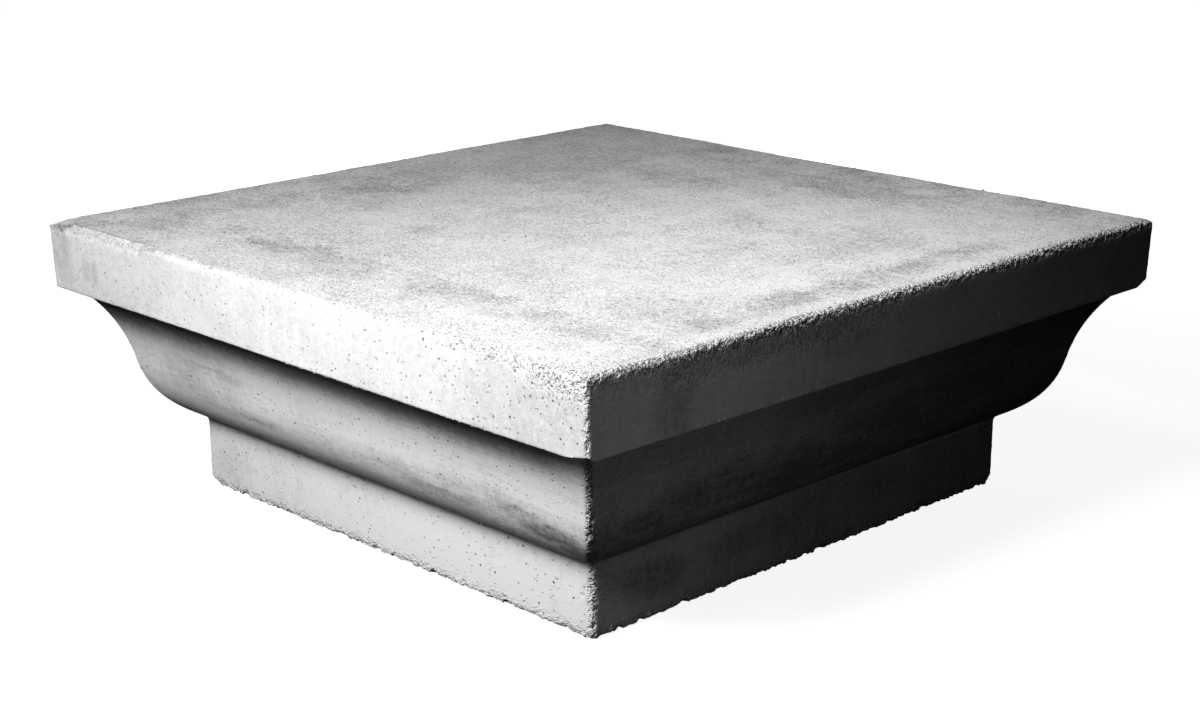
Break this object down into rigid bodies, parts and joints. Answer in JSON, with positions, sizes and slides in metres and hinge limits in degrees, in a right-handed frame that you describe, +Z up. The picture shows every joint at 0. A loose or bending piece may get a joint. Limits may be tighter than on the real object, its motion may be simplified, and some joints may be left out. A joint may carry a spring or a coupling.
{
  "type": "column base block",
  "caption": "Square cast-concrete base block for a column: broad slab, wave moulding beneath it and a narrower low plinth, with worn edges and small chips.",
  "frame": {"origin": "middle of the plinth's underside, on the surface that the block stands on", "axes": "+Z up through the block's height, its shortest side; -Y is the front face, the bright one in the picture, and +X the right face"},
  "size_m": [0.5596, 0.5596, 0.2],
  "materials": {
    "cast_concrete": "pale grey cast concrete, matt, with a fine sandy skin, air holes and soft grey stains"
  },
  "bodies": {
    "root": {"column_base_block": "cast_concrete"}
  },
  "joints": []
}
